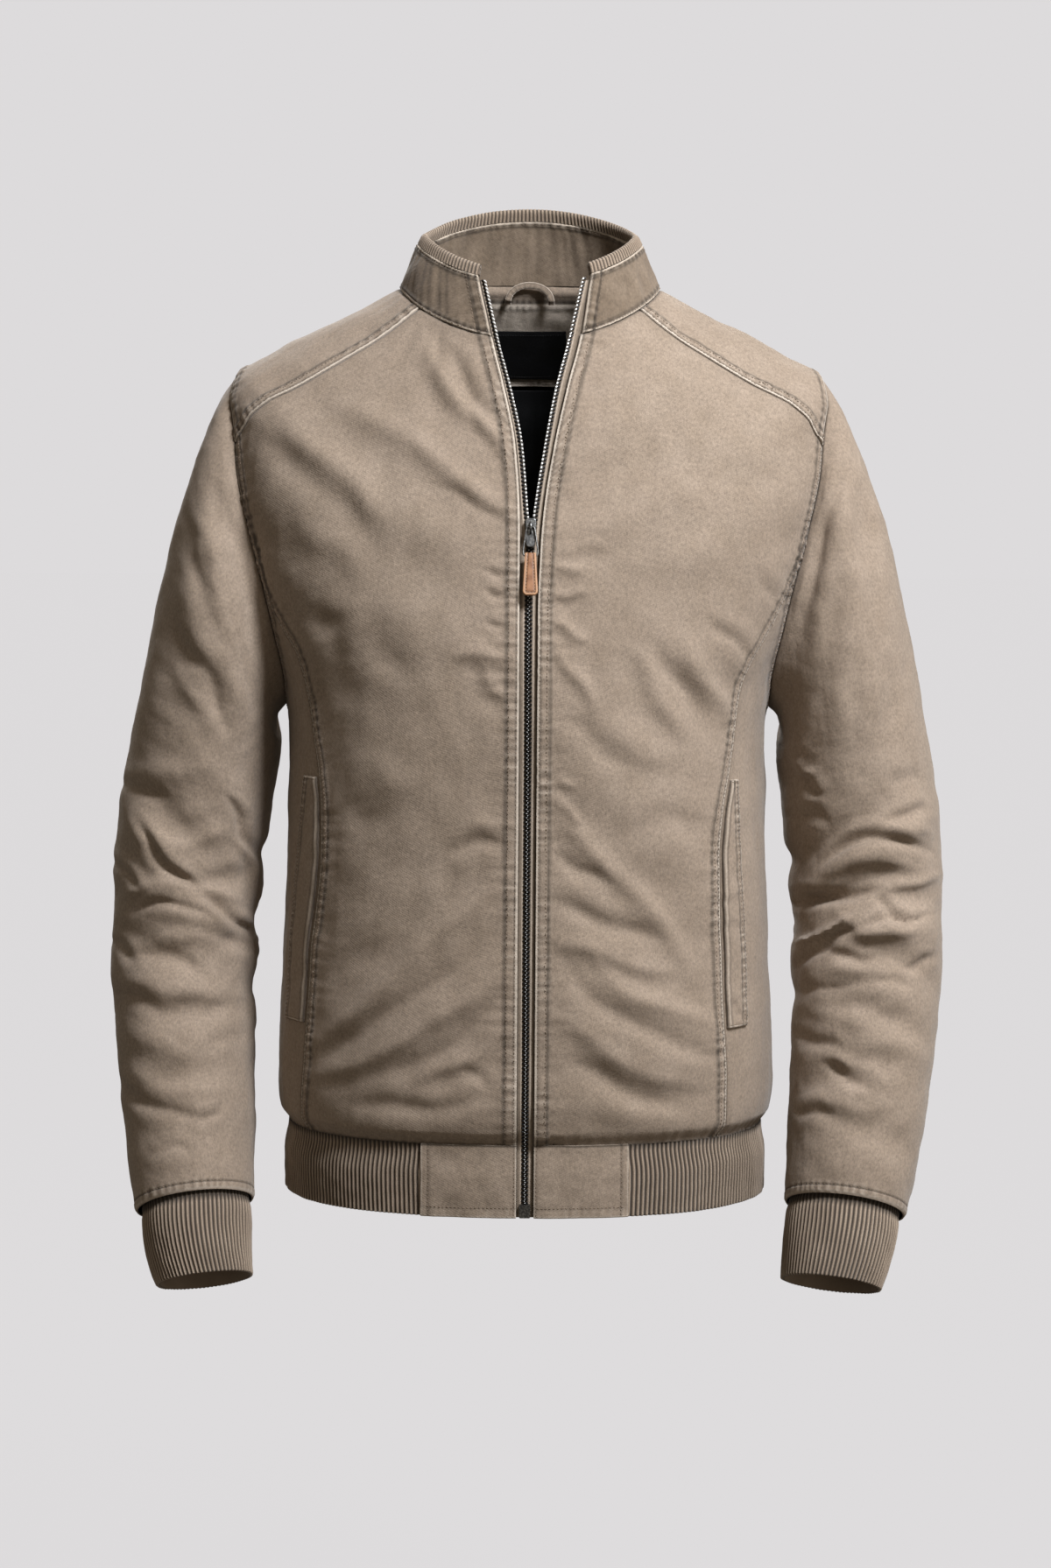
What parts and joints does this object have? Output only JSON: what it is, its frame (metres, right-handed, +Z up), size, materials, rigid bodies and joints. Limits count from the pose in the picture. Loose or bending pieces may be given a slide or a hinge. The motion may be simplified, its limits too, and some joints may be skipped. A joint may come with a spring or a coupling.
{
  "type": "bomber jacket",
  "caption": "Zip-front bomber jacket with stand collar, shoulder yokes, slanted welt pockets and ribbed hem and cuffs, filled out as worn with the zip part open.",
  "frame": {"origin": "base of the neck on the middle plane, level with the side point of the neck seam, where the wearer's neck holds the jacket up", "axes": "+Z up, -Y out of the jacket's front, +X towards the viewer's right as seen from the front (the wearer's left)"},
  "size_m": [0.616, 0.279, 0.803],
  "materials": {
    "twill": "washed cotton twill, matt",
    "rib_knit": "ribbed cotton knit, matt",
    "zip_tape": "woven tape",
    "lining": "smooth lining, low sheen",
    "label": "woven satin, bare",
    "gunmetal": "dark gunmetal plating",
    "silver_metal": "worn silver plating",
    "leather": "cognac leather, satin"
  },
  "bodies": {
    "jacket": {"front_left": "twill", "front_side_left": "twill", "yoke_left": "twill", "sleeve_left": "twill", "cuff_left": "rib_knit", "hem_tab_left": "twill", "pocket_welt_left": "twill", "zip_tape_left": "zip_tape", "front_right": "twill", "front_side_right": "twill", "yoke_right": "twill", "sleeve_right": "twill", "cuff_right": "rib_knit", "hem_tab_right": "twill", "pocket_welt_right": "twill", "zip_tape_right": "zip_tape", "back": "twill", "neck_facing": "twill", "neck_label": "label", "back_lining": "lining", "hanger_loop": "twill", "hem_rib": "rib_knit", "collar_outer": "twill", "collar_inner": "twill", "collar_band": "rib_knit", "zip_slider": "gunmetal", "zip_arch": "gunmetal", "zip_end_box": "gunmetal"},
    "bail": {"zip_bail": "silver_metal"},
    "tab": {"leather_tab": "leather"}
  },
  "joints": [
    {"name": "bail_swing", "type": "hinge", "parent": "jacket", "child": "bail", "pos_m": [0.0015, -0.13046, -0.17426], "axis": [-1, 0, 0], "range_deg": [0, 120]},
    {"name": "tab_swing", "type": "hinge", "parent": "bail", "child": "tab", "pos_m": [0.0015, -0.13615, -0.19406], "axis": [-1, 0, 0], "range_deg": [0, 60]}
  ]
}
